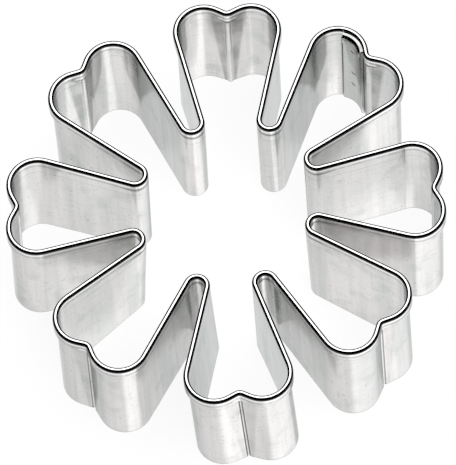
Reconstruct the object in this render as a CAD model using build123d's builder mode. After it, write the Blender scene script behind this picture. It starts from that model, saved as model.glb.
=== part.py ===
from build123d import *
from collections import namedtuple
from math import asin, cos, degrees, radians, sin, sqrt
import os

# Cookie cutter shaped as a blossom of eight heart-ended petals, bent from one steel strip.
# The rim at the top is hemmed outward and the plain cut edge is at the bottom.
# Millimetres, +Z up, origin in the middle of the footprint, level with the cut edge.

# The strip
sheet = 0.35
height = 22.0
hem_gap = 0.2
hem_height = 2.4

# The blossom, measured to the middle line of the rolled rim
notch_reach = 33.6
fold_reach = 14.1
lobe_radius = 4.5
lobe_side = 3.8
notch_radius = 1.1
notch_run = 1.4
fold_radius = 1.7

# Below the hem each notch is pressed to a narrow nose between two shoulders
nose_radius = 0.05
shoulder_radius = 0.6
shoulder_side = 0.6
shoulder_drop = 0.3

# How hand forming left each petal's notch and the fold after it, clockwise from the back petal
Forming = namedtuple("Forming", "notch_reach_shares notch_turns fold_reach_shares fold_turns")
rim_forming = Forming(
    notch_reach_shares=(1.02, 1.02, 0.98, 0.97, 1.01, 1.0, 1.01, 1.01),
    notch_turns=(1.6, -1.9, -1.3, -0.7, -0.8, -1.0, 2.0, 2.9),
    fold_reach_shares=(1.03, 1.02, 0.94, 0.98, 0.99, 1.06, 1.01, 0.99),
    fold_turns=(3.6, -3.7, -4.1, 2.4, -1.4, 2.0, -1.1, 2.1),
)
edge_forming = Forming(
    notch_reach_shares=(1.0, 1.01, 0.97, 0.98, 1.03, 1.01, 1.02, 1.0),
    notch_turns=(1.3, -2.1, -1.2, -0.3, -2.0, -1.8, 2.0, 2.7),
    fold_reach_shares=(1.04, 1.02, 0.96, 0.98, 0.99, 1.12, 1.04, 1.0),
    fold_turns=(3.2, -3.7, -4.3, 2.3, -3.7, 4.6, -0.4, 1.4),
)
petal_count = len(rim_forming.notch_turns)
pitch = 360 / petal_count

# The lap seam, on the left lobe of one petal, which its stiffness holds a little proud
seam_petal = 1
seam_turn = 28.0
seam_lobe_spread = 0.45
seam_notch_run = 0.85
seam_gap = 0.12
joggle_length = 0.4
tongue_run = 0.75
tongue_drop = 1.25
tongue_hem_height = 1.0
lap_gap = 0.06
weld_radius = 0.4
weld_setback = 2.2
weld_dent = 0.04
weld_height_shares = (0.27, 0.44, 0.76)

# The hemmed rim is two sheets and the gap between them across
bead = 2 * sheet + hem_gap
rim_bead_height = height - bead / 2
tongue_bead_height = rim_bead_height - tongue_drop
outer_face_inset = bead / 2 - sheet
inner_face_inset = bead / 2
tongue_inset = inner_face_inset + lap_gap
wall_height = height - hem_height

Bend = namedtuple("Bend", "centre radius sense")
CLOCKWISE = -1
COUNTERCLOCKWISE = 1


def spoke(bearing):
    """Unit vector at a bearing in degrees, clockwise from +Y."""
    return Vector(sin(radians(bearing)), cos(radians(bearing)))


def forming_at(level_share):
    """Forming at a share of the wall's height, straight from the cut edge up to the hem."""
    rows = [
        tuple(edge + (rim - edge) * level_share for edge, rim in zip(edge_row, rim_row))
        for edge_row, rim_row in zip(edge_forming, rim_forming)
    ]
    return Forming(*rows)


def notch_bearing(petal, forming):
    """Bearing of a petal's notch, which is the petal's own direction."""
    return petal * pitch + forming.notch_turns[petal]


def lobe_drop(side, run):
    """How far inward of the notch a lobe's centre lies, to leave a straight run between their bends."""
    return sqrt((lobe_radius + notch_radius) ** 2 + run**2 - side**2) - notch_radius


def petal_centres(petal, forming, notch_offset):
    """Centres of a petal's left lobe, notch and right lobe."""
    bearing = notch_bearing(petal, forming)
    outward = spoke(bearing)
    sideways = spoke(bearing + 90)
    notch = outward * notch_reach * forming.notch_reach_shares[petal]
    left_side, left_run = lobe_side, notch_run
    if petal == seam_petal:
        left_side, left_run = lobe_side + seam_lobe_spread, seam_notch_run
    left_lobe = notch - outward * lobe_drop(left_side, left_run) - sideways * left_side
    right_lobe = notch - outward * lobe_drop(lobe_side, notch_run) + sideways * lobe_side
    return left_lobe, notch + outward * notch_offset, right_lobe


def fold_centre(petal, forming):
    """Centre of the bend at the bottom of the V that follows a petal."""
    bearing = (petal + 1 / 2) * pitch + forming.fold_turns[petal]
    return spoke(bearing) * (fold_reach * forming.fold_reach_shares[petal] + fold_radius)


def footprint_middle():
    """Middle of the box round the lobes at the rim and at the cut edge."""
    low_x, high_x, low_y, high_y = [], [], [], []
    for forming, reach in (
        (rim_forming, lobe_radius + bead / 2),
        (edge_forming, lobe_radius - outer_face_inset),
    ):
        for petal in range(petal_count):
            for lobe in petal_centres(petal, forming, 0)[::2]:
                low_x.append(lobe.X - reach)
                high_x.append(lobe.X + reach)
                low_y.append(lobe.Y - reach)
                high_y.append(lobe.Y + reach)
    return Vector(min(low_x) + max(high_x), min(low_y) + max(high_y)) / 2


middle = footprint_middle()


def shoulder_centres(petal, forming, nose):
    """Centres of the two shoulders beside a petal's nose."""
    bearing = notch_bearing(petal, forming)
    inner = nose - spoke(bearing) * shoulder_drop
    sideways = spoke(bearing + 90) * shoulder_side
    return inner - sideways, inner + sideways


def blossom_bends(forming, inset, notch_bend, shouldered):
    """Every bend clockwise from the seam's lobe, moved towards the inside of the blossom."""
    bends = []
    for step in range(petal_count):
        petal = (seam_petal + step) % petal_count
        left_lobe, notch, right_lobe = petal_centres(petal, forming, notch_bend)
        notch_bends = [Bend(notch - middle, notch_bend + inset, COUNTERCLOCKWISE)]
        if shouldered:
            left, right = shoulder_centres(petal, forming, notch)
            notch_bends.insert(0, Bend(left - middle, shoulder_radius - inset, CLOCKWISE))
            notch_bends.append(Bend(right - middle, shoulder_radius - inset, CLOCKWISE))
        fold = fold_centre(petal, forming)
        bends.append(Bend(left_lobe - middle, lobe_radius - inset, CLOCKWISE))
        bends.extend(notch_bends)
        bends.append(Bend(right_lobe - middle, lobe_radius - inset, CLOCKWISE))
        bends.append(Bend(fold - middle, fold_radius + inset, COUNTERCLOCKWISE))
    return bends


def straight_run(bend, following):
    """Ends of the straight line that leaves one bend and meets the next at a tangent."""
    between = following.centre - bend.centre
    lean = asin((bend.sense * bend.radius - following.sense * following.radius) / between.length)
    side = between.normalized().rotate(Axis.Z, degrees(lean) + 90)
    start = bend.centre - side * bend.sense * bend.radius
    finish = following.centre - side * following.sense * following.radius
    return start, finish


def lobe_point(forming, inset, turn):
    """Point on the seam's lobe, turned anticlockwise about its centre from its petal's direction."""
    seam_lobe = petal_centres(seam_petal, forming, 0)[0] - middle
    return seam_lobe + spoke(notch_bearing(seam_petal, forming) - turn) * (lobe_radius - inset)


def turn_of(length):
    """Angle of a length measured along the seam's lobe."""
    return degrees(length / lobe_radius)


butt_turn = seam_turn - turn_of(seam_gap)
joggle_turn = seam_turn + turn_of(joggle_length)


def strip_line(bends, start, finish):
    """Line round the blossom from one place on the seam's lobe to another."""
    runs = [Line(*straight_run(bend, bends[(i + 1) % len(bends)])) for i, bend in enumerate(bends)]
    TangentArc(start, runs[0] @ 0, tangent=-(runs[0] % 0), tangent_from_first=False)
    for before, after in zip(runs, runs[1:]):
        TangentArc(before @ 1, after @ 0, tangent=before % 1)
    TangentArc(runs[-1] @ 1, finish, tangent=runs[-1] % 1)


def wall_face_line(forming, inset):
    """One face of the plain wall, from the butted start round to the joggle."""
    start = lobe_point(forming, inset, butt_turn)
    finish = lobe_point(forming, inset, joggle_turn)
    strip_line(blossom_bends(forming, inset, nose_radius, True), start, finish)
    return start, finish


def tongue_line(forming, inset):
    """One face of the tongue: round the seam's lobe, then straight towards the notch."""
    bends = blossom_bends(forming, inset, nose_radius, True)
    run_start, run_finish = straight_run(bends[0], bends[1])
    along = (run_finish - run_start).normalized()
    seam_point = lobe_point(forming, inset, seam_turn)
    TangentArc(seam_point, run_start, tangent=-along, tangent_from_first=False)
    tip = run_start + along * tongue_run
    Line(run_start, tip)
    return seam_point, tip


# The middle line of the rolled rim, from the butted start of the hem round to its end
rim_start = lobe_point(rim_forming, 0, butt_turn)
with BuildLine(Plane.XY.offset(rim_bead_height)) as rim_line:
    rim_bends = blossom_bends(rim_forming, 0, notch_radius, False)
    strip_line(rim_bends, rim_start, lobe_point(rim_forming, 0, seam_turn))



def hook_line(outer_foot, inner_foot):
    """Section of a folded edge about the middle of its bead, with X towards the inside."""
    inner_side = Line((bead / 2, inner_foot), (bead / 2, 0))
    crown = CenterArc((0, 0), bead / 2, 0, 180)
    Polyline(
        crown @ 1,
        (-bead / 2, outer_foot),
        (sheet - bead / 2, outer_foot),
        (sheet - bead / 2, hem_gap / 2),
        (bead / 2 - sheet, hem_gap / 2),
        (bead / 2 - sheet, inner_foot),
        inner_side @ 0,
    )


# The strip's section in its hemmed zone: wall, fold and the leg that comes down outside
inward = (rim_bends[0].centre - rim_start).normalized()
rim_origin = rim_start + Vector(0, 0, rim_bead_height)
with BuildSketch(Plane(rim_origin, x_dir=inward, z_dir=inward.cross(Vector(0, 0, 1)))) as hem_section:
    with BuildLine():
        hook_line(wall_height - rim_bead_height, wall_height - rim_bead_height)
    make_face()

# The plain wall at the cut edge and under the hem, stepped inward at the seam into the lapped tongue
wall_sections = []
for level_share in (0, 1):
    forming = forming_at(level_share)
    with BuildSketch(Plane.XY.offset(wall_height * level_share)) as wall_section:
        with BuildLine():
            outer_start, outer_finish = wall_face_line(forming, outer_face_inset)
            inner_start, inner_finish = wall_face_line(forming, inner_face_inset)
            Line(outer_start, inner_start)
            outer_seam, outer_tip = tongue_line(forming, tongue_inset)
            inner_seam, inner_tip = tongue_line(forming, tongue_inset + sheet)
            Line(outer_finish, outer_seam)
            Line(inner_finish, inner_seam)
            Line(outer_tip, inner_tip)
        make_face()
    wall_sections.append(wall_section.sketch)

# The tongue's top edge, folded inward just under the rim
with BuildLine(Plane.XY.offset(tongue_bead_height)) as tongue_rim_line:
    tongue_start, tongue_tip = tongue_line(rim_forming, tongue_inset + bead / 2)
tongue_inward = (rim_bends[0].centre - tongue_start).normalized()
tongue_origin = tongue_start + Vector(0, 0, tongue_bead_height)
tongue_plane = Plane(tongue_origin, x_dir=tongue_inward, z_dir=tongue_inward.cross(Vector(0, 0, 1)))
with BuildSketch(tongue_plane) as tongue_hem_section:
    with BuildLine():
        hook_line(wall_height - tongue_bead_height, -tongue_hem_height)
    make_face()
with BuildPart() as tongue_hem:
    sweep(sections=tongue_hem_section.sketch, path=tongue_rim_line.line)

with BuildPart() as band:
    loft(sections=wall_sections, ruled=True)
    sweep(sections=hem_section.sketch, path=rim_line.line)
    add(tongue_hem.part)

# Spot welds through both sheets of the lap, each in the hole that it fills
weld_turn = seam_turn - turn_of(weld_setback)
weld_length = 2 * sheet + lap_gap - 2 * weld_dent
weld_planes = []
for share in weld_height_shares:
    forming = forming_at(share * height / wall_height)
    weld_start = lobe_point(forming, outer_face_inset + weld_dent, weld_turn)
    weld_inward = -spoke(notch_bearing(seam_petal, forming) - weld_turn)
    weld_planes.append(Plane(weld_start + Vector(0, 0, height * share), z_dir=weld_inward))

with BuildPart() as weld_spots:
    for weld_plane in weld_planes:
        with BuildSketch(weld_plane):
            Circle(weld_radius)
        extrude(amount=weld_length)

with band:
    for weld_plane in weld_planes:
        with BuildSketch(weld_plane.offset(-sheet)):
            Circle(weld_radius)
        extrude(amount=weld_length + 2 * sheet, mode=Mode.SUBTRACT)

band.part.label = "band"
weld_spots.part.label = "weld_spots"

os.makedirs("parts", exist_ok=True)
export_step(band.part, "parts/band.step")
export_step(weld_spots.part, "parts/weld_spots.step")
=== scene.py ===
"""Blossom cookie cutter: the steel's finishes, the lap's fold, the studio and the camera.

Sizes and places are in millimetres and angles in degrees. The studio alone is in metres.
"""

import logging
import math
from collections.abc import Sequence
from dataclasses import dataclass
from enum import Enum

import bpy
from mathutils import Matrix, Vector


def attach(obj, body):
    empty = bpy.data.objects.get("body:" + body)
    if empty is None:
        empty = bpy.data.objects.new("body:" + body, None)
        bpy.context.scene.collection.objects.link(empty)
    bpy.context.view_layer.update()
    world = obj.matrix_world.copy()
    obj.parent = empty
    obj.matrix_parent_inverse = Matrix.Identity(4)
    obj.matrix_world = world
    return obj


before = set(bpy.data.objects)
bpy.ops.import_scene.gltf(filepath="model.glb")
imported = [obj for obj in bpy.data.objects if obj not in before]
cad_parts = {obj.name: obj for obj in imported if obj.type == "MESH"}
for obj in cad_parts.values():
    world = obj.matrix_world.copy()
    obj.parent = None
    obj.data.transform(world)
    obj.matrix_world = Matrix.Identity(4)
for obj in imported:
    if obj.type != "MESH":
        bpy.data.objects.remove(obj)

log = logging.getLogger("cookie_cutter")

Tone = tuple[float, float, float, float]
Place = tuple[float, float]
Socket = bpy.types.NodeSocket
Value = float | Socket
Colour = Tone | Socket

MM = 0.001
BAND = "band"


def grey(share: float) -> Tone:
    """Makes the grey that gives back a share of the light."""
    return share, share, share, 1.0


WHITE = grey(1.0)
# Light grey for the crown, partly burnish and partly painted highlight, and for the painted highlights under
# the bead and on the notch tabs.
BURNISH_AND_HIGHLIGHT = grey(0.92)


class Blend(Enum):
    """How one layer of a finish goes over another."""

    MIX = "MIX"
    MULTIPLY = "MULTIPLY"


@dataclass(frozen=True)
class Fade:
    """A smooth change from one result to another while a value goes from low to high."""

    low: float
    high: float
    start: float = 0.0
    finish: float = 1.0

    @classmethod
    def out(cls, low: float, high: float) -> "Fade":
        """Makes a fade from 1 at low to 0 at high."""
        return cls(low, high, start=1.0, finish=0.0)


@dataclass(frozen=True)
class Line:
    """A soft line at a height or a distance, with the share of its reach that is fully on."""

    middle: float
    reach: float
    full_share: float = 0.3


@dataclass(frozen=True)
class Noise:
    """A noise: its features per millimetre along X, Y and Z, and its finer layers."""

    stretch: tuple[float, float, float]
    detail: float = 2.0


@dataclass(frozen=True)
class Relief:
    """How strongly a pattern turns the surface, and how deep it is."""

    strength: float
    depth: float


@dataclass(frozen=True)
class Upright:
    """A line that leans with the wall, from the cut edge to where the hem begins."""

    foot: Place
    head: Place

    def lean(self) -> tuple[float, float, float]:
        """Works out how far the head lies from the foot, with no height."""
        return self.head[0] - self.foot[0], self.head[1] - self.foot[1], 0.0


SEAM_LOBE = Upright(foot=(18.71, 25.72), head=(19.03, 25.90))
WELD_LINE = Upright(foot=(21.45, 28.66), head=(21.78, 28.84))


class NodeBoard:
    """A node tree with short ways to add and join its nodes."""

    def __init__(self, tree: bpy.types.NodeTree) -> None:
        """Clears a tree and keeps it.

        Args:
            tree: The node tree of a material or a world.
        """
        self.tree = tree
        tree.nodes.clear()

    def add(self, kind: str, sockets: dict | None = None, **settings: object) -> bpy.types.Node:
        """Adds a node, sets its settings and fills its sockets.

        Args:
            kind: The node's class without its common first word.
            sockets: Values or outputs by the input's name or number.
            settings: The node's own properties.

        Returns:
            The new node.
        """
        node = self.tree.nodes.new("ShaderNode" + kind)
        for name, value in settings.items():
            setattr(node, name, value)
        for key, value in (sockets or {}).items():
            if isinstance(value, bpy.types.NodeSocket):
                self.tree.links.new(value, node.inputs[key])
            else:
                node.inputs[key].default_value = value
        return node

    def math(self, operation: str, first: Value, second: Value = 0.0, third: Value = 0.0,
             clamp: bool = False) -> Socket:
        """Adds one sum.

        Args:
            operation: Name of the sum, such as DIVIDE.
            first: First value or output.
            second: Second value or output.
            third: Third value or output.
            clamp: Whether the result stays from 0 to 1.

        Returns:
            The sum's output.
        """
        sockets = {0: first, 1: second, 2: third}
        return self.add("Math", sockets, operation=operation, use_clamp=clamp).outputs[0]

    def all_of(self, first: Value, *others: Value) -> Socket:
        """Multiplies masks, so that the result is on where all of them are.

        Args:
            first: First mask.
            others: The masks that it is multiplied by.

        Returns:
            The joined mask.
        """
        joined = first
        for mask in others:
            joined = self.math("MULTIPLY", joined, mask)
        return joined

    def pair(self, first: Value, second: Value) -> Socket:
        """Joins two values into a flat vector."""
        return self.add("CombineXYZ", {0: first, 1: second}).outputs[0]

    def length(self, vector: Socket) -> Socket:
        """Measures a vector."""
        return self.add("VectorMath", {0: vector}, operation="LENGTH").outputs["Value"]

    def millimetres(self) -> Socket:
        """Adds the object's own coordinates, in millimetres."""
        place = self.add("TexCoord").outputs["Object"]
        return self.add("Mapping", {"Vector": place, "Scale": (1 / MM, 1 / MM, 1 / MM)}).outputs[0]

    def ramp(self, value: Value, fade: Fade) -> Socket:
        """Maps a value through a fade.

        Args:
            value: The output that is mapped.
            fade: The range that it is mapped from and the results at its ends.

        Returns:
            The mapped value's output.
        """
        sockets = {0: value, 1: fade.low, 2: fade.high, 3: fade.start, 4: fade.finish}
        return self.add("MapRange", sockets, interpolation_type="SMOOTHSTEP").outputs[0]

    def line(self, value: Value, line: Line) -> Socket:
        """Marks a soft line where a value passes a given one.

        Args:
            value: The output that is compared.
            line: The value in the line's middle and how far it reaches.

        Returns:
            1 in the middle, falling to 0.
        """
        gap = self.math("ABSOLUTE", self.math("SUBTRACT", value, line.middle))
        return self.ramp(gap, Fade.out(line.reach * line.full_share, line.reach))

    def noise(self, place: Socket, noise: Noise) -> Socket:
        """Adds a noise.

        Args:
            place: Coordinates in millimetres.
            noise: Its stretch and detail.

        Returns:
            The noise, from 0 to 1.
        """
        mapped = self.add("Mapping", {"Vector": place, "Scale": noise.stretch}).outputs[0]
        sockets = {"Vector": mapped, "Scale": 1.0, "Detail": noise.detail}
        return self.add("TexNoise", sockets).outputs["Fac"]

    def bump(self, pattern: Socket, relief: Relief, under: Socket | None = None) -> Socket:
        """Turns the surface as a pattern rises and falls.

        Args:
            pattern: The pattern's height.
            relief: How strong and deep it is.
            under: A relief that it lies on.

        Returns:
            The turned surface's direction.
        """
        sockets = {"Height": pattern, "Strength": relief.strength, "Distance": relief.depth * MM}
        if under is not None:
            sockets["Normal"] = under
        return self.add("Bump", sockets).outputs[0]

    def blend(self, amount: Value, under: Value, over: Value) -> Socket:
        """Goes from one number to another.

        Args:
            amount: How far it goes, from 0 to 1.
            under: The number at 0.
            over: The number at 1.

        Returns:
            The number's output.
        """
        return self.add("Mix", {0: amount, 2: under, 3: over}, data_type="FLOAT").outputs[0]

    def layer(self, amount: Value, under: Colour, over: Colour, blend: Blend = Blend.MIX) -> Socket:
        """Lays one colour over another.

        Args:
            amount: How much of the upper colour shows.
            under: Lower colour or output.
            over: Upper colour or output.
            blend: How they go together.

        Returns:
            The mixed colour's output.
        """
        sockets = {0: amount, 6: under, 7: over}
        return self.add("Mix", sockets, data_type="RGBA", blend_type=blend.value).outputs[2]

    def dim(self, tone: Colour, amount: Value, by: Tone) -> Socket:
        """Multiplies a tone where a mask is on.

        Args:
            tone: The colour or output that is dimmed.
            amount: The mask.
            by: The colour that it is multiplied by at 1.

        Returns:
            The dimmed colour's output.
        """
        return self.layer(amount, tone, by, Blend.MULTIPLY)


@dataclass(frozen=True)
class Mark:
    """A change of tone where a pattern passes through a fade."""

    fade: Fade
    tone: Tone

    def dull(self, board: NodeBoard, under: Colour, pattern: Socket) -> Socket:
        """Multiplies the tone under it by its own."""
        return board.dim(under, board.ramp(pattern, self.fade), self.tone)

    def cover(self, board: NodeBoard, under: Colour, pattern: Socket) -> Socket:
        """Lays its own tone over the one under it."""
        return board.layer(board.ramp(pattern, self.fade), under, self.tone)


def new_material(name: str) -> tuple[bpy.types.Material, NodeBoard]:
    """Makes an empty material.

    Args:
        name: The material's name.

    Returns:
        The material and its nodes.
    """
    material = bpy.data.materials.new(name)
    material.use_nodes = True
    return material, NodeBoard(material.node_tree)


def dress_node(node: str, material: bpy.types.Material) -> None:
    """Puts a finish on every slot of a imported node.

    Args:
        node: The node's name.
        material: The finish.
    """
    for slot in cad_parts[node].material_slots:
        slot.material = material


class StripMap:
    """What the layers of the strip's finish share: places, heights, distances and two noises."""

    def __init__(self, board: NodeBoard, wall_height: float, grain: Noise, cloud: Noise) -> None:
        """Adds the shared outputs.

        Args:
            board: The material's nodes.
            wall_height: Height at which the hem begins.
            grain: Fine noise drawn out along the strip.
            cloud: Noise of soft patches.
        """
        self.board = board
        self.place = board.millimetres()
        parts = board.add("SeparateXYZ", {0: self.place}).outputs
        self.back = parts["Y"]
        self.level = parts["Z"]
        self.flat = board.pair(parts["X"], parts["Y"])
        self.reach = board.length(self.flat)
        self.share = board.math("DIVIDE", self.level, wall_height, clamp=True)
        self.grain = self.noise(grain)
        self.cloud = self.noise(cloud)

    def noise(self, noise: Noise) -> Socket:
        """Adds a noise on the strip."""
        return self.board.noise(self.place, noise)

    def nearest(self, uprights: Sequence[Upright]) -> Socket:
        """Measures the distance to the nearest of some leaning lines, across the strip's height.

        Args:
            uprights: The lines.

        Returns:
            The distance.
        """
        shares = self.board.pair(self.share, self.share)
        nearest = None
        for upright in uprights:
            sockets = {0: shares, 1: upright.lean(), 2: (*upright.foot, 0.0)}
            point = self.board.add("VectorMath", sockets, operation="MULTIPLY_ADD").outputs[0]
            ends = {0: self.flat, 1: point}
            gap = self.board.add("VectorMath", ends, operation="DISTANCE").outputs["Value"]
            nearest = gap if nearest is None else self.board.math("MINIMUM", nearest, gap)
        return nearest


@dataclass(frozen=True)
class RolledTone:
    """The rolled sheet: soft upright bands, streaks, patches, grain, scratches, glints and specks."""

    cool_tone: Tone = (0.7, 0.7, 0.692, 1.0)
    warm_tone: Tone = (0.81, 0.782, 0.782, 1.0)
    bands: Noise = Noise((0.3, 0.3, 0.02))
    band_fade: Fade = Fade(0.38, 0.62)
    streak_noise: Noise = Noise((1.7, 1.7, 0.07), detail=3.0)
    streaks: Mark = Mark(Fade(0.45, 0.7), (0.94, 0.945, 0.94, 1.0))
    patches: Mark = Mark(Fade(0.5, 0.72), (0.87, 0.895, 0.875, 1.0))
    grain: Mark = Mark(Fade(0.38, 0.7), grey(0.95))
    scratch_noise: Noise = Noise((0.13, 0.13, 4.2), detail=4.0)
    scratches: Mark = Mark(Fade(0.6, 0.68), (0.94, 0.935, 0.94, 1.0))
    glint_noise: Noise = Noise((0.4, 0.3, 3.1), detail=4.0)
    glints: Mark = Mark(Fade(0.62, 0.7, finish=0.45), (0.8, 0.79, 0.79, 1.0))
    speck_noise: Noise = Noise((2.4, 2.4, 2.4), detail=1.0)
    specks: Mark = Mark(Fade(0.7, 0.75), (0.6, 0.61, 0.6, 1.0))

    def lay(self, strip: StripMap) -> Socket:
        """Mixes the sheet's own tone.

        Args:
            strip: What the finish's layers share.

        Returns:
            The tone.
        """
        board = strip.board
        bands = board.ramp(strip.noise(self.bands), self.band_fade)
        tone = board.layer(bands, self.cool_tone, self.warm_tone)
        tone = self.streaks.dull(board, tone, strip.noise(self.streak_noise))
        tone = self.patches.dull(board, tone, strip.cloud)
        tone = self.grain.dull(board, tone, strip.grain)
        tone = self.scratches.dull(board, tone, strip.noise(self.scratch_noise))
        tone = self.glints.cover(board, tone, strip.noise(self.glint_noise))
        return self.specks.dull(board, tone, strip.noise(self.speck_noise))


@dataclass(frozen=True)
class NotchPaintedLight:
    """Painted light at the notches: dark wedges of painted reflection beside each one, a painted shade line
    down each groove, and where each notch meets the hem a painted highlight on the tab with a painted shadow
    under it.
    """

    petals: int = 8
    petal_ends: float = 30.0
    notch_spread: float = 5.0
    level_slack: float = 0.05
    nose_depth: float = 0.45
    # Painted reflection: dark wedges beside each notch where the facing flank would be mirrored, weaker
    # towards the front.
    wedge_inside: Fade = Fade(0.4, 0.7)
    wedge_outside: Fade = Fade.out(2.2, 3.1)
    wedge_foot: float = 0.35
    wedge_growth: float = 0.7
    wedge_patches: Fade = Fade(0.3, 0.6, start=0.6)
    wedge_front_fade: Fade = Fade(-12.0, 12.0, start=0.35)
    wedge_painted_reflection: Tone = (0.55, 0.56, 0.55, 1.0)
    # Painted shade: a dark line down each crease.
    groove: Line = Line(0.27, 0.16)
    groove_head: Fade = Fade.out(19.4, 19.7)
    groove_painted_shade: Tone = grey(0.4)
    # Painted shadow: a dark line under the tab where each notch meets the hem.
    tab_shadow_width: Fade = Fade.out(0.9, 1.5)
    tab_shadow: Line = Line(19.35, 0.5)
    tab_shadow_tone: Tone = (0.35, 0.36, 0.35, 1.0)
    # Painted highlight on the tab where the hem bulges inward at each notch.
    tab_highlight_width: Fade = Fade.out(1.2, 1.7)
    tab_highlight: Line = Line(20.15, 0.4)
    tab_highlight_tone: Tone = BURNISH_AND_HIGHLIGHT

    def noses(self, level: float) -> list[Place]:
        """Finds the bend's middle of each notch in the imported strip, petal by petal.

        Args:
            level: Height of the strip's edge that is searched.

        Returns:
            The places.
        """
        points = [vertex.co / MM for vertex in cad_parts[BAND].data.vertices]
        edge = [point.xy for point in points if abs(point.z - level) < self.level_slack]
        ends = [point for point in edge if point.length > self.petal_ends]
        found = []
        for petal in range(self.petals):
            bearing = math.tau * petal / self.petals
            outward = Vector((math.sin(bearing), math.cos(bearing)))
            near = [point for point in ends if point.angle(outward) < math.radians(self.notch_spread)]
            tip = min(near, key=lambda point: point.length)
            found.append(tuple(tip * (1 + self.nose_depth / tip.length)))
        return found

    def lay(self, strip: StripMap, tone: Socket, wall_height: float) -> Socket:
        """Lays the marks.

        Args:
            strip: What the finish's layers share.
            tone: The tone so far.
            wall_height: Height at which the hem begins.

        Returns:
            The tone.
        """
        board = strip.board
        notches = [Upright(foot, head) for foot, head in zip(self.noses(0.0), self.noses(wall_height))]
        crease = strip.nearest(notches)
        width = board.math("MULTIPLY_ADD", strip.share, self.wedge_growth, self.wedge_foot)
        outside = board.ramp(board.math("DIVIDE", crease, width), self.wedge_outside)
        # Painted reflection of the facing flank, laid as dark wedges beside each notch and weakened towards
        # the front.
        wedge = board.all_of(
            board.ramp(crease, self.wedge_inside), outside,
            board.ramp(strip.cloud, self.wedge_patches), board.ramp(strip.back, self.wedge_front_fade),
        )
        tone = board.dim(tone, wedge, self.wedge_painted_reflection)
        # Painted shade down each crease.
        groove = board.all_of(board.line(crease, self.groove), board.ramp(strip.level, self.groove_head))
        tone = board.dim(tone, groove, self.groove_painted_shade)
        # Painted shadow under the tab at each notch.
        tab_shadow = board.all_of(board.ramp(crease, self.tab_shadow_width), board.line(strip.level, self.tab_shadow))
        tone = board.dim(tone, tab_shadow, self.tab_shadow_tone)
        # Painted highlight on the tab at each notch.
        tab_highlight = board.all_of(board.ramp(crease, self.tab_highlight_width), board.line(strip.level, self.tab_highlight))
        return board.layer(tab_highlight, tone, self.tab_highlight_tone)


@dataclass(frozen=True)
class HemMarks:
    """Tones in the hem's zone and at the cut edge: lighter patches above 18.3 mm, darker lines at set
    heights, a darker line on the strip's inner parts, and a darker bottom edge.
    """

    hem_patch_noise: Noise = Noise((0.8, 0.8, 0.5), detail=4.0)
    hem_patch_foot: Fade = Fade(18.3, 18.8)
    hem_patch_fade: Fade = Fade(0.42, 0.62)
    hem_patch_strength: float = 0.4
    hem_patch_tone: Tone = (0.8, 0.79, 0.79, 1.0)
    line_below_hem: Line = Line(18.35, 0.14)
    line_below_hem_tone: Tone = (0.86, 0.85, 0.86, 1.0)
    leg: Line = Line(20.45, 0.45)
    leg_fade: Fade = Fade(0.35, 0.55, start=0.3)
    leg_shade: Tone = (0.7, 0.71, 0.7, 1.0)
    inner_line_reach: Fade = Fade.out(16.0, 19.0)
    inner_line: Line = Line(20.2, 0.42)
    inner_line_tone: Tone = (0.5, 0.52, 0.5, 1.0)
    cut_edge: Mark = Mark(Fade.out(0.12, 0.32), grey(0.84))

    def lay(self, strip: StripMap, tone: Socket) -> Socket:
        """Lays the marks.

        Args:
            strip: What the finish's layers share.
            tone: The tone so far.

        Returns:
            The tone.
        """
        board = strip.board
        hem_patch_noise = strip.noise(self.hem_patch_noise)
        patches = board.all_of(
            board.ramp(strip.level, self.hem_patch_foot), board.ramp(hem_patch_noise, self.hem_patch_fade), self.hem_patch_strength,
        )
        tone = board.layer(patches, tone, self.hem_patch_tone)
        tone = board.dim(tone, board.line(strip.level, self.line_below_hem), self.line_below_hem_tone)
        leg = board.all_of(board.line(strip.level, self.leg), board.ramp(hem_patch_noise, self.leg_fade))
        tone = board.dim(tone, leg, self.leg_shade)
        inner_line = board.all_of(board.ramp(strip.reach, self.inner_line_reach), board.line(strip.level, self.inner_line))
        tone = board.dim(tone, inner_line, self.inner_line_tone)
        return self.cut_edge.dull(board, tone, strip.level)


@dataclass(frozen=True)
class LapMarks:
    """What joining the lap left: a duller patch below its folded edge, and heat round each weld."""

    weld_levels: tuple[float, ...] = (5.94, 9.68, 16.72)
    patch_width: Fade = Fade.out(2.2, 2.8)
    patch_head: Fade = Fade.out(19.9, 20.2)
    patch_shade: Tone = (0.84, 0.86, 0.85, 1.0)
    heat: Mark = Mark(Fade.out(0.4, 0.95), (0.88, 0.85, 0.81, 1.0))

    def lay(self, strip: StripMap, tone: Socket) -> Socket:
        """Lays the marks.

        Args:
            strip: What the finish's layers share.
            tone: The tone so far.

        Returns:
            The tone.
        """
        board = strip.board
        lap = strip.nearest([WELD_LINE])
        patch = board.all_of(board.ramp(lap, self.patch_width), board.ramp(strip.level, self.patch_head))
        tone = board.dim(tone, patch, self.patch_shade)
        for weld_level in self.weld_levels:
            rise = board.math("SUBTRACT", strip.level, weld_level)
            tone = self.heat.dull(board, tone, board.length(board.pair(lap, rise)))
        return tone


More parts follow.
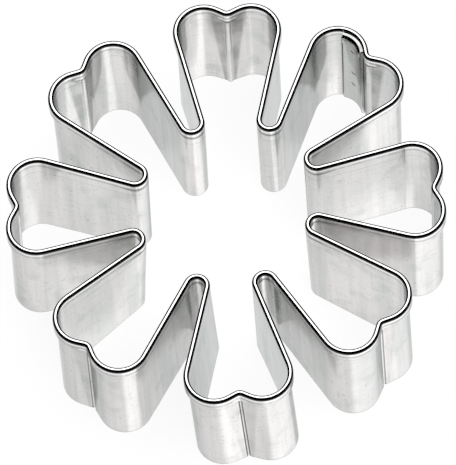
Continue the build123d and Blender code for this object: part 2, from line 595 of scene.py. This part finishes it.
@dataclass(frozen=True)
class RimTone:
    """The rolled rim: a crown laid lighter, partly as burnish and partly as painted highlight, a painted
    highlight line under the bead, a painted dark reflection along each flank, and the lap's own fold.
    """

    height: float = 22.0
    crown_depth: float = 0.45
    crown_blend: float = 1.3
    # Crown laid lighter, partly burnish and partly painted highlight; also the tone of the painted highlight
    # line under the bead.
    crown_and_highlight_tone: Tone = BURNISH_AND_HIGHLIGHT
    # Painted highlight: a pale line on the hem's leg just under the bead.
    under_bead_highlight: Line = Line(21.17, 0.36)
    # Painted reflection: a near-black band along each flank of the bead, standing in for dark surroundings
    # mirrored there.
    flank_foot: Fade = Fade(21.38, 21.46)
    flank_head: Fade = Fade.out(21.935, 21.98)
    flank_painted_reflection: Tone = grey(0.08)
    fold_reach: Fade = Fade.out(4.0, 4.06)
    fold_foot: Fade = Fade(20.4, 20.6)
    fold_shade: Tone = (0.62, 0.64, 0.63, 1.0)

    def crown(self, strip: StripMap) -> Socket:
        """Adds the mask of the rim's crown.

        Args:
            strip: What the finish's layers share.

        Returns:
            The mask.
        """
        start = self.height - self.crown_depth * self.crown_blend
        return strip.board.ramp(strip.level, Fade(start, self.height - self.crown_depth))

    def fold(self, strip: StripMap) -> Socket:
        """Adds the mask of the lap's own fold.

        Args:
            strip: What the finish's layers share.

        Returns:
            The mask.
        """
        within = strip.board.ramp(strip.nearest([SEAM_LOBE]), self.fold_reach)
        return strip.board.all_of(within, strip.board.ramp(strip.level, self.fold_foot))

    def lay(self, strip: StripMap, tone: Socket, crown: Socket, fold: Socket) -> Socket:
        """Lays the rim's tones.

        Args:
            strip: What the finish's layers share.
            tone: The tone so far.
            crown: Mask of the rim's crown.
            fold: Mask of the lap's own fold.

        Returns:
            The tone.
        """
        board = strip.board
        # The crown laid lighter: partly burnish, partly painted highlight.
        tone = board.layer(crown, tone, self.crown_and_highlight_tone)
        off_fold = board.math("SUBTRACT", 1.0, fold)
        # Painted highlight: a pale line just under the bead, left off the lap's fold.
        tone = board.layer(board.all_of(board.line(strip.level, self.under_bead_highlight), off_fold), tone, self.crown_and_highlight_tone)
        tone = board.dim(tone, fold, self.fold_shade)
        # Painted reflection: near-black bands along both flanks of the bead.
        dark_reflection_bands = board.all_of(
            board.ramp(strip.level, self.flank_foot), board.ramp(strip.level, self.flank_head),
        )
        return board.dim(tone, dark_reflection_bands, self.flank_painted_reflection)


@dataclass(frozen=True)
class StripSurface:
    """How smooth the strip is: its roughness from place to place, and its grain, ripples and dents."""

    polish: float = 0.1
    grain_roughness: float = 0.06
    cloud_roughness: float = 0.08
    cut_edge: Fade = Fade.out(0.1, 0.4)
    cut_edge_roughness: float = 0.35
    fold_roughness: float = 0.1
    crown_roughness: float = 0.05
    grain_relief: Relief = Relief(0.4, 0.002)
    ripples: Noise = Noise((1.3, 1.3, 0.05))
    ripple_relief: Relief = Relief(0.3, 0.02)
    dent_relief: Relief = Relief(0.5, 0.08)

    def roughness(self, strip: StripMap, crown: Socket, fold: Socket) -> Socket:
        """Mixes the roughness.

        Args:
            strip: What the finish's layers share.
            crown: Mask of the rim's crown.
            fold: Mask of the lap's own fold.

        Returns:
            The roughness.
        """
        board = strip.board
        roughness = board.math("MULTIPLY_ADD", strip.grain, self.grain_roughness, self.polish)
        roughness = board.math("MULTIPLY_ADD", strip.cloud, self.cloud_roughness, roughness)
        roughness = board.blend(board.ramp(strip.level, self.cut_edge), roughness, self.cut_edge_roughness)
        roughness = board.blend(fold, roughness, self.fold_roughness)
        return board.blend(crown, roughness, self.crown_roughness)

    def relief(self, strip: StripMap) -> Socket:
        """Adds the grain, the ripples on it and the dents on both.

        Args:
            strip: What the finish's layers share.

        Returns:
            The turned surface's direction.
        """
        grain = strip.board.bump(strip.grain, self.grain_relief)
        ripples = strip.board.bump(strip.noise(self.ripples), self.ripple_relief, grain)
        return strip.board.bump(strip.cloud, self.dent_relief, ripples)


@dataclass(frozen=True)
class StripSteel:
    """Bright rolled stainless strip, with tone marks, painted shade, reflection and highlight at its notches
    and rim, and a rim laid lighter, partly as burnish and partly as painted highlight.
    """

    name: str = "rolled_strip_steel"
    wall_height: float = 19.6
    grain: Noise = Noise((0.35, 0.35, 7.0), detail=3.0)
    cloud: Noise = Noise((0.3, 0.3, 0.22), detail=3.0)
    glancing_tone: Tone = (0.61, 0.63, 0.625, 1.0)
    rolled: RolledTone = RolledTone()
    notches: NotchPaintedLight = NotchPaintedLight()
    hem: HemMarks = HemMarks()
    lap: LapMarks = LapMarks()
    rim: RimTone = RimTone()
    surface: StripSurface = StripSurface()

    def make(self) -> bpy.types.Material:
        """Makes the material.

        Returns:
            The finish.
        """
        material, board = new_material(self.name)
        strip = StripMap(board, self.wall_height, self.grain, self.cloud)
        crown, fold = self.rim.crown(strip), self.rim.fold(strip)
        tone = self.rolled.lay(strip)
        tone = self.notches.lay(strip, tone, self.wall_height)
        tone = self.hem.lay(strip, tone)
        tone = self.lap.lay(strip, tone)
        tone = self.rim.lay(strip, tone, crown, fold)
        shader = board.add("BsdfPrincipled", {
            "Base Color": tone,
            "Metallic": 1.0,
            "Roughness": self.surface.roughness(strip, crown, fold),
            "Specular Tint": self.glancing_tone,
            "Normal": self.surface.relief(strip),
        })
        board.add("OutputMaterial", {0: shader.outputs[0]})
        return material


@dataclass(frozen=True)
class WeldSteel:
    """Steel pressed and heated by the welding tips: duller, with mottled heat colour."""

    name: str = "pressed_weld_steel"
    pressed_tone: Tone = (0.66, 0.65, 0.65, 1.0)
    heated_tone: Tone = (0.5, 0.48, 0.46, 1.0)
    mottle: Noise = Noise((6.0, 6.0, 6.0), detail=3.0)
    mottle_fade: Fade = Fade(0.3, 0.7)
    mottle_relief: Relief = Relief(0.5, 0.01)
    polish: float = 0.25
    mottle_roughness: float = 0.2

    def make(self) -> bpy.types.Material:
        """Makes the material.

        Returns:
            The finish.
        """
        material, board = new_material(self.name)
        mottle = board.noise(board.millimetres(), self.mottle)
        heated = board.ramp(mottle, self.mottle_fade)
        shader = board.add("BsdfPrincipled", {
            "Base Color": board.layer(heated, self.pressed_tone, self.heated_tone),
            "Metallic": 1.0,
            "Roughness": board.math("MULTIPLY_ADD", mottle, self.mottle_roughness, self.polish),
            "Normal": board.bump(mottle, self.mottle_relief),
        })
        board.add("OutputMaterial", {0: shader.outputs[0]})
        return material


@dataclass
class SteelBand:
    """The bent strip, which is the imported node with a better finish."""

    node: str = BAND
    finish: StripSteel = StripSteel()

    def dress(self) -> bpy.types.Material:
        """Gives the strip its finish.

        Returns:
            The finish.
        """
        steel = self.finish.make()
        dress_node(self.node, steel)
        return steel


@dataclass
class LapFold:
    """The lap's own hem, pressed flat under the rim between the wall and the tongue's folded edge."""

    centre: Place = SEAM_LOBE.head
    outer_radius: float = 4.06
    inner_radius: float = 3.08
    top: float = 21.37
    bottom: float = 20.25
    fullness: float = 2.75
    rings: int = 8
    first_bearing: float = 15.6
    last_bearing: float = 87.0
    sheet: float = 0.06
    facets: int = 240
    smooth_angle: float = 50.0

    def _profile(self) -> list[Place]:
        """Works out the fold's section, rounded like a full quarter ellipse.

        Returns:
            The radius and height of each ring, from the top outside to the bottom inside.
        """
        rounding = 2 / self.fullness
        profile = []
        for ring in range(self.rings + 1):
            turn = math.radians(90 * ring / self.rings)
            inward = (self.outer_radius - self.inner_radius) * math.sin(turn) ** rounding
            rise = (self.top - self.bottom) * abs(math.cos(turn)) ** rounding
            profile.append((self.outer_radius - inward, self.bottom + rise))
        return profile

    def build(self, steel: bpy.types.Material) -> bpy.types.Object:
        """Models the fold as a circle extruded ring by ring and cut to the lap's length.

        Args:
            steel: The strip's finish.

        Returns:
            The new object.
        """
        bpy.ops.object.select_all(action="DESELECT")
        profile = self._profile()
        radius, top = profile[0]
        middle = (self.centre[0] * MM, self.centre[1] * MM, 0)
        bpy.ops.mesh.primitive_circle_add(vertices=self.facets, radius=radius * MM, location=middle)
        fold = bpy.context.object
        fold.name = "lap_fold"
        bpy.ops.object.transform_apply(location=True, rotation=True, scale=True)
        bpy.ops.object.mode_set(mode="EDIT")
        bpy.ops.mesh.select_all(action="SELECT")
        bpy.ops.transform.translate(value=(0, 0, top * MM))
        for (before, high), (after, low) in zip(profile, profile[1:]):
            bpy.ops.mesh.extrude_edges_move()
            bpy.ops.transform.resize(value=(after / before, after / before, 1),
                                     center_override=(middle[0], middle[1], high * MM))
            bpy.ops.transform.translate(value=(0, 0, (low - high) * MM))
        for bearing, turn in ((self.first_bearing, -90), (self.last_bearing, 90)):
            across = math.radians(bearing + turn)
            outward = (math.sin(across), math.cos(across), 0)
            bpy.ops.mesh.select_all(action="SELECT")
            bpy.ops.mesh.bisect(plane_co=middle, plane_no=outward, clear_outer=True)
        bpy.ops.mesh.select_all(action="SELECT")
        bpy.ops.mesh.normals_make_consistent(inside=False)
        bpy.ops.mesh.solidify(thickness=self.sheet * MM)
        bpy.ops.object.mode_set(mode="OBJECT")
        bpy.ops.object.shade_smooth_by_angle(angle=math.radians(self.smooth_angle))
        fold.data.materials.append(steel)
        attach(fold, "root")
        return fold


@dataclass
class SpotWelds:
    """The lap's spot welds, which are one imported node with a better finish."""

    node: str = "weld_spots"
    finish: WeldSteel = WeldSteel()

    def dress(self) -> bpy.types.Material:
        """Gives the welds their finish.

        Returns:
            The finish.
        """
        steel = self.finish.make()
        dress_node(self.node, steel)
        return steel


@dataclass
class Studio:
    """Glazed white floor, white world, two lamps and the dark room round the table, in metres."""

    floor_size: float = 8.0
    white_fade: Fade = Fade(0.028, 0.044)
    paper_lift: float = 0.92
    paper_tone: Tone = grey(0.16)
    glaze_tone: Tone = grey(0.1)
    glaze_roughness: float = 0.12
    ambient: float = 0.25
    lamp_size: tuple[float, float] = (1.5, 1.5)
    lamp_place: tuple[float, float, float] = (0.0, 0.05, 0.6)
    lamp_brightness: float = 1.05
    room_radius: float = 0.5
    room_segments: int = 96
    room_rings: int = 48
    room_tone: Tone = grey(0.01)
    table_radius: float = 0.08
    table_level: float = 0.001
    far_opening: float = 37.0
    near_opening: float = 86.0
    softbox_bearing: float = 56.0
    softbox_elevation: float = 63.0
    softbox_distance: float = 0.42
    softbox_size: tuple[float, float] = (0.42, 0.16)
    softbox_brightness: float = 4.6

    def build(self) -> None:
        """Builds the floor, the room, the lamps and the world."""
        floor = self._floor()
        self._room()
        self._lamps(floor)
        self._world()

    def _floor(self) -> bpy.types.Object:
        """Lays the floor, whose far part shows as plain white.

        Returns:
            The floor.
        """
        bpy.ops.object.select_all(action="DESELECT")
        bpy.ops.mesh.primitive_plane_add(size=self.floor_size)
        floor = bpy.context.object
        floor.name = "studio_floor"
        material, board = new_material("glazed_white_floor")
        distance = board.length(board.add("TexCoord").outputs["Object"])
        white = board.add("Emission", {"Color": WHITE, "Strength": 1.0}).outputs[0]
        paper = board.add("BsdfDiffuse", {"Color": self.paper_tone}).outputs[0]
        lift = board.add("Emission", {"Color": WHITE, "Strength": self.paper_lift}).outputs[0]
        near = board.add("AddShader", {0: paper, 1: lift}).outputs[0]
        far = board.ramp(distance, self.white_fade)
        to_camera = board.add("MixShader", {0: far, 1: near, 2: white}).outputs[0]
        gloss = {"Color": self.glaze_tone, "Roughness": self.glaze_roughness}
        glaze = board.add("BsdfAnisotropic", gloss).outputs[0]
        to_steel = board.add("AddShader", {0: white, 1: glaze}).outputs[0]
        path = board.add("LightPath").outputs
        mirrored = self._mirrored(board, path)
        seen = board.add("MixShader", {0: mirrored, 1: paper, 2: to_steel}).outputs[0]
        shown = board.add("MixShader", {0: path["Is Camera Ray"], 1: seen, 2: to_camera}).outputs[0]
        board.add("OutputMaterial", {0: shown})
        floor.data.materials.append(material)
        return floor

    def _mirrored(self, board: NodeBoard, path: bpy.types.NodeOutputs) -> Socket:
        """Adds the test for rays that come off steel or through glass."""
        return board.math("MAXIMUM", path["Is Glossy Ray"], path["Is Transmission Ray"])

    def _room(self) -> None:
        """Builds the dark room: a table top round the paper and a shell that is open overhead."""
        bpy.ops.object.select_all(action="DESELECT")
        bpy.ops.mesh.primitive_uv_sphere_add(segments=self.room_segments, ring_count=self.room_rings,
                                             radius=self.room_radius)
        room = bpy.context.object
        room.name = "studio_room"
        bpy.ops.object.mode_set(mode="EDIT")
        bpy.ops.mesh.select_all(action="SELECT")
        bpy.ops.mesh.bisect(plane_co=(0, 0, self.table_level), plane_no=(0, 0, 1), clear_inner=True)
        bpy.ops.mesh.extrude_edges_move()
        shrink = self.table_radius / self.room_radius
        bpy.ops.transform.resize(value=(shrink, shrink, 1))
        far, near = math.radians(self.far_opening), math.radians(self.near_opening)
        top_far = Vector((0, math.cos(far), math.sin(far))) * self.room_radius
        top_near = Vector((0, -math.cos(near), math.sin(near))) * self.room_radius
        across = top_far - top_near
        slope = Vector((0, -across.z, across.y))
        bpy.ops.mesh.select_all(action="SELECT")
        bpy.ops.mesh.bisect(plane_co=top_far, plane_no=slope, clear_outer=True)
        bpy.ops.object.mode_set(mode="OBJECT")
        material, board = new_material("dark_room")
        dark = board.add("BsdfDiffuse", {"Color": self.room_tone}).outputs[0]
        board.add("OutputMaterial", {0: dark})
        room.data.materials.append(material)
        room.visible_camera = False

    def _lamps(self, floor: bpy.types.Object) -> None:
        """Hangs the broad lamp overhead, and in front a softbox that lights the floor's glaze alone.

        Args:
            floor: The floor.
        """
        overhead = Vector(self.lamp_place)
        self._lamp("overhead_lamp", overhead, self.lamp_size, self.lamp_brightness, (0, 0, 0))
        bearing = math.radians(self.softbox_bearing)
        elevation = math.radians(self.softbox_elevation)
        level = Vector((math.sin(bearing), -math.cos(bearing), 0)) * math.cos(elevation)
        spot = (level + Vector((0, 0, math.sin(elevation)))) * self.softbox_distance
        turn = (math.radians(90) - elevation, 0, bearing)
        softbox = self._lamp("front_softbox", spot, self.softbox_size, self.softbox_brightness, turn)
        lit = bpy.data.collections.new("softbox_lit")
        lit.objects.link(floor)
        softbox.light_linking.receiver_collection = lit

    def _lamp(self, name: str, spot: Vector, size: tuple[float, float], brightness: float,
              turn: tuple[float, float, float]) -> bpy.types.Object:
        """Hangs one rectangular lamp.

        Args:
            name: The lamp's name.
            spot: Its middle.
            size: Its width and height.
            brightness: Brightness of its face, where 1 shows as white.
            turn: Its rotation about X, Y and Z.

        Returns:
            The lamp.
        """
        data = bpy.data.lights.new(name, "AREA")
        data.shape = "RECTANGLE"
        data.size, data.size_y = size
        data.energy = brightness * math.pi * size[0] * size[1]
        lamp = bpy.data.objects.new(name, data)
        lamp.location = spot
        lamp.rotation_euler = turn
        lamp.visible_camera = False
        bpy.context.scene.collection.objects.link(lamp)
        return lamp

    def _world(self) -> None:
        """Makes the world white where it is seen, and low in what it adds to the lamps."""
        world = bpy.data.worlds.new("studio_world")
        bpy.context.scene.world = world
        world.use_nodes = True
        board = NodeBoard(world.node_tree)
        path = board.add("LightPath").outputs
        seen = board.math("MAXIMUM", path["Is Camera Ray"], self._mirrored(board, path))
        strength = board.math("MAXIMUM", seen, self.ambient)
        sky = board.add("Background", {"Color": WHITE, "Strength": strength})
        board.add("OutputWorld", {0: sky.outputs[0]})


@dataclass
class PhotoCamera:
    """The camera at the photograph's angle, far away with a long lens."""

    elevation: float = 63.0
    azimuth: float = 2.2
    roll: float = -4.8
    distance: float = 1800.0
    aim: tuple[float, float, float] = (0.242, -5.647, 22.0)
    photo_width: int = 456
    focal_pixels: float = 11275.0
    sensor: float = 36.0

    def build(self) -> bpy.types.Object:
        """Places the camera and makes it the scene's.

        Returns:
            The camera.
        """
        data = bpy.data.cameras.new("photo_camera")
        data.sensor_fit = "HORIZONTAL"
        data.sensor_width = self.sensor
        data.lens = self.focal_pixels * self.sensor / self.photo_width
        camera = bpy.data.objects.new("photo_camera", data)
        bpy.context.scene.collection.objects.link(camera)
        turn = (
            Matrix.Rotation(math.radians(self.azimuth), 4, "Z")
            @ Matrix.Rotation(math.radians(90 - self.elevation), 4, "X")
            @ Matrix.Rotation(math.radians(self.roll), 4, "Z")
        )
        back = turn @ Vector((0, 0, 1))
        eye = (Vector(self.aim) + back * self.distance) * MM
        camera.matrix_world = Matrix.Translation(eye) @ turn
        bpy.context.scene.camera = camera
        return camera


def main() -> None:
    """Builds everything in order and reports each piece."""
    logging.basicConfig(level=logging.INFO)
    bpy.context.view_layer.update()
    steel = SteelBand().dress()
    log.info("band dressed with %s", steel.name)
    fold = LapFold().build(steel)
    log.info("%s modelled with %d faces", fold.name, len(fold.data.polygons))
    weld_steel = SpotWelds().dress()
    log.info("weld spots dressed with %s", weld_steel.name)
    Studio().build()
    log.info("studio built")
    camera = PhotoCamera().build()
    log.info("%s placed", camera.name)
    bpy.context.scene.view_settings.view_transform = "Standard"


if __name__ == "__main__":
    main()
